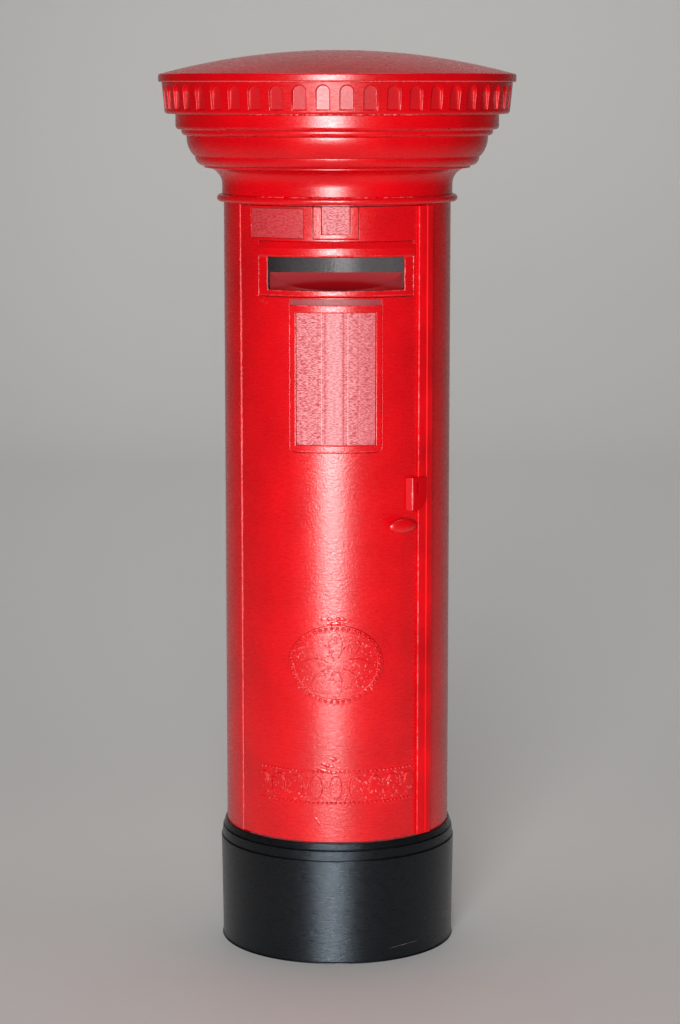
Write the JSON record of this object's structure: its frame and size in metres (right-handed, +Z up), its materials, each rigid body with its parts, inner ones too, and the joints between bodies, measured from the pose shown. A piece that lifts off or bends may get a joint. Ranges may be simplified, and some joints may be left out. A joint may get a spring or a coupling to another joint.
{
  "type": "model pillar box",
  "caption": "Round red model pillar box on a black plinth, with a moulded cornice, a domed cap, a letter slot with a ramp behind it, and a curved front door that swings open and locks.",
  "frame": {"origin": "centre of the plinth's underside, on the floor", "axes": "+Z up along the body's axis, the front faces -Y, +X is to the right seen from the front"},
  "size_m": [0.1568, 0.1568, 0.3979],
  "materials": {
    "red_paint": "semi-gloss brushed paint over printed layers",
    "thin_red_paint": "thin dull paint over printed layers",
    "black_plastic": "satin printed plastic",
    "steel": "plain steel",
    "brass": "plain brass"
  },
  "bodies": {
    "box": {"plinth": "black_plastic", "base_screws": "steel", "body_shell": "red_paint", "floor_plate": "black_plastic", "cornice": "red_paint", "cap_lid": "red_paint", "lock_keeper": "black_plastic", "hinge_washer": "steel"},
    "door": {"door": "red_paint", "hinge_pins": "steel", "closing_strip": "red_paint", "aperture_frame": "red_paint", "letter_chute": "thin_red_paint", "collection_plate": "thin_red_paint", "tablet_holder": "red_paint", "tablet": "thin_red_paint", "notice_frame": "red_paint", "notice_panel": "thin_red_paint", "keyhole_plate": "red_paint", "lock_case": "black_plastic", "lock_screws": "steel", "door_pull": "red_paint", "pull_screw": "steel"},
    "bolt": {"lock_bolt": "brass"}
  },
  "joints": [
    {"name": "door_hinge", "type": "hinge", "parent": "box", "child": "door", "pos_m": [-0.03764, -0.03027, 0.193], "axis": [0, 0, -1], "range_deg": [0, 110]},
    {"name": "bolt_slide", "type": "slide", "parent": "door", "child": "bolt", "axis": [0.7361, 0.6769, 0], "range_m": [0, 0.006]}
  ]
}
